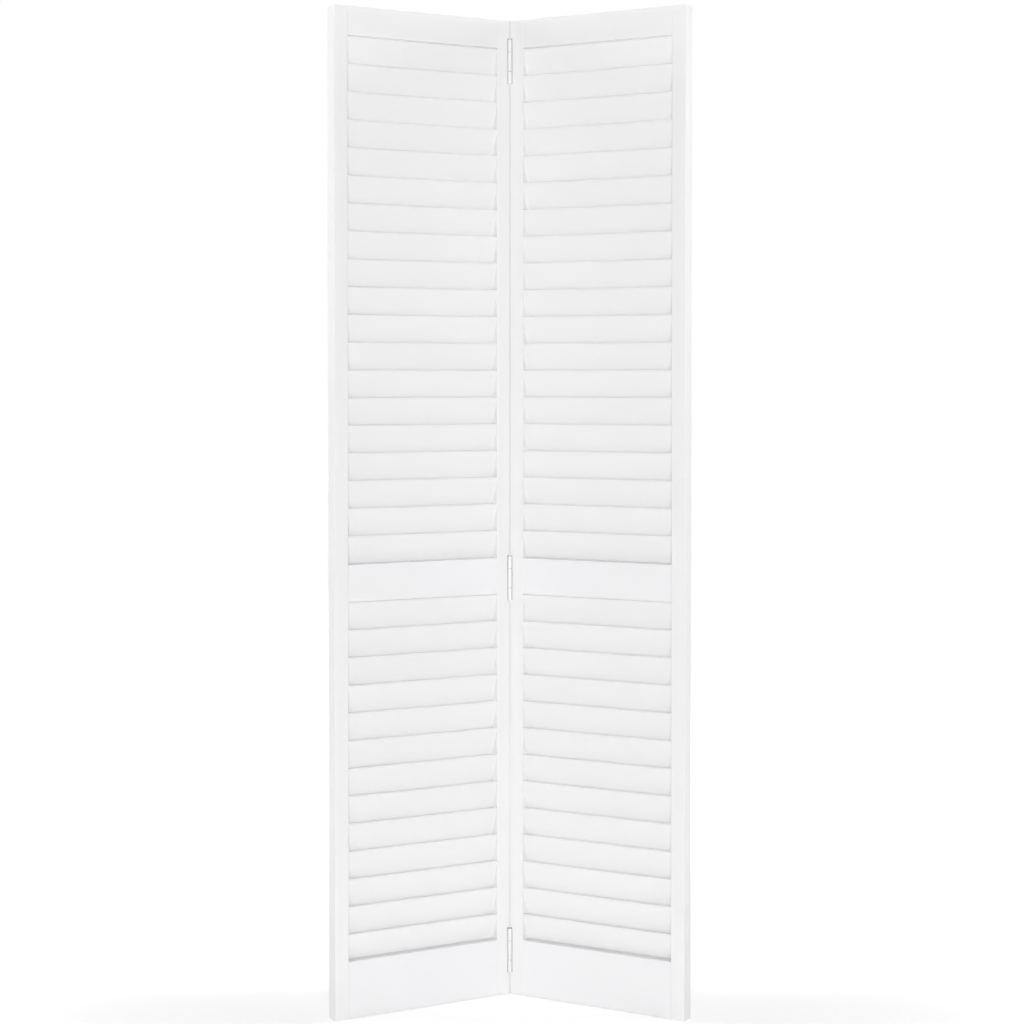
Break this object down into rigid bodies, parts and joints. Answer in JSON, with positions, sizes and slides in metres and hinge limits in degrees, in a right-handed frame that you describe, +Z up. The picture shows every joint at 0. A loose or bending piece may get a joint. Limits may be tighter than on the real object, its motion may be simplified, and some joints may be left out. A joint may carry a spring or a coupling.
{
  "type": "louvred folding door",
  "caption": "White two-leaf folding door, half folded, with tilted louvre slats housed in stiles between plain rails and butt hinges joining the leaves.",
  "frame": {"origin": "on the floor under the middle of the door's box", "axes": "+Z up, +X across both leaves from the left leaf to the right one, -Y towards the side where the leaves fold together and the hinge knuckles stand"},
  "size_m": [0.7158, 0.2286, 1.997],
  "materials": {
    "paint": "satin white paint on softwood",
    "hinge": "gloss white enamel",
    "pin": "dull zinc plate"
  },
  "bodies": {
    "root": {"left_outer_stile": "paint", "left_inner_stile": "paint", "left_top_rail": "paint", "left_mid_rail": "paint", "left_bottom_rail": "paint", "left_upper_slats": "paint", "left_lower_slats": "paint", "right_outer_stile": "paint", "right_inner_stile": "paint", "right_top_rail": "paint", "right_mid_rail": "paint", "right_bottom_rail": "paint", "right_upper_slats": "paint", "right_lower_slats": "paint", "top_hinge_left_plate": "hinge", "top_hinge_right_plate": "hinge", "top_hinge_pin": "pin", "middle_hinge_left_plate": "hinge", "middle_hinge_right_plate": "hinge", "middle_hinge_pin": "pin", "bottom_hinge_left_plate": "hinge", "bottom_hinge_right_plate": "hinge", "bottom_hinge_pin": "pin"}
  },
  "joints": []
}
